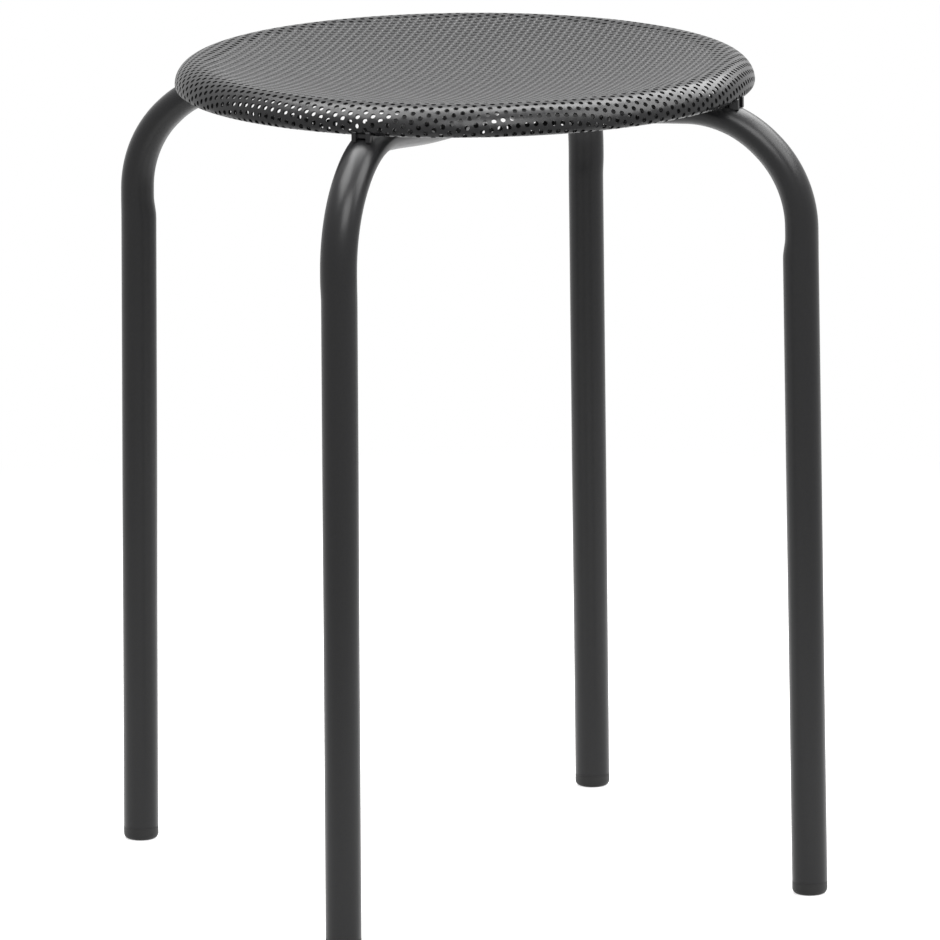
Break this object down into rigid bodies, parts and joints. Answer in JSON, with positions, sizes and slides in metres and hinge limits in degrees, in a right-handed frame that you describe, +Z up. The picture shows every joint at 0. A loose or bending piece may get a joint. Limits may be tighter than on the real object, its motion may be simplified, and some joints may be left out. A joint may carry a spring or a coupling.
{
  "type": "stool",
  "caption": "Round perforated-metal stool with a dished seat and rolled rim, carried on bent steel tube legs that cross under the seat.",
  "frame": {"origin": "on the floor, under the middle of the seat", "axes": "+Z up, +X along the upper hoop towards the right foot, +Y along the lower hoop towards the back foot"},
  "size_m": [0.4112, 0.4112, 0.45],
  "materials": {
    "seat_sheet": "satin",
    "leg_tube": "satin",
    "foot_plastic": "matte"
  },
  "bodies": {
    "root": {"seat_shell": "seat_sheet", "upper_leg_hoop": "leg_tube", "lower_leg_hoop": "leg_tube", "saddle_right": "leg_tube", "saddle_back": "leg_tube", "saddle_left": "leg_tube", "saddle_front": "leg_tube", "foot_right": "foot_plastic", "foot_back": "foot_plastic", "foot_left": "foot_plastic", "foot_front": "foot_plastic"}
  },
  "joints": []
}
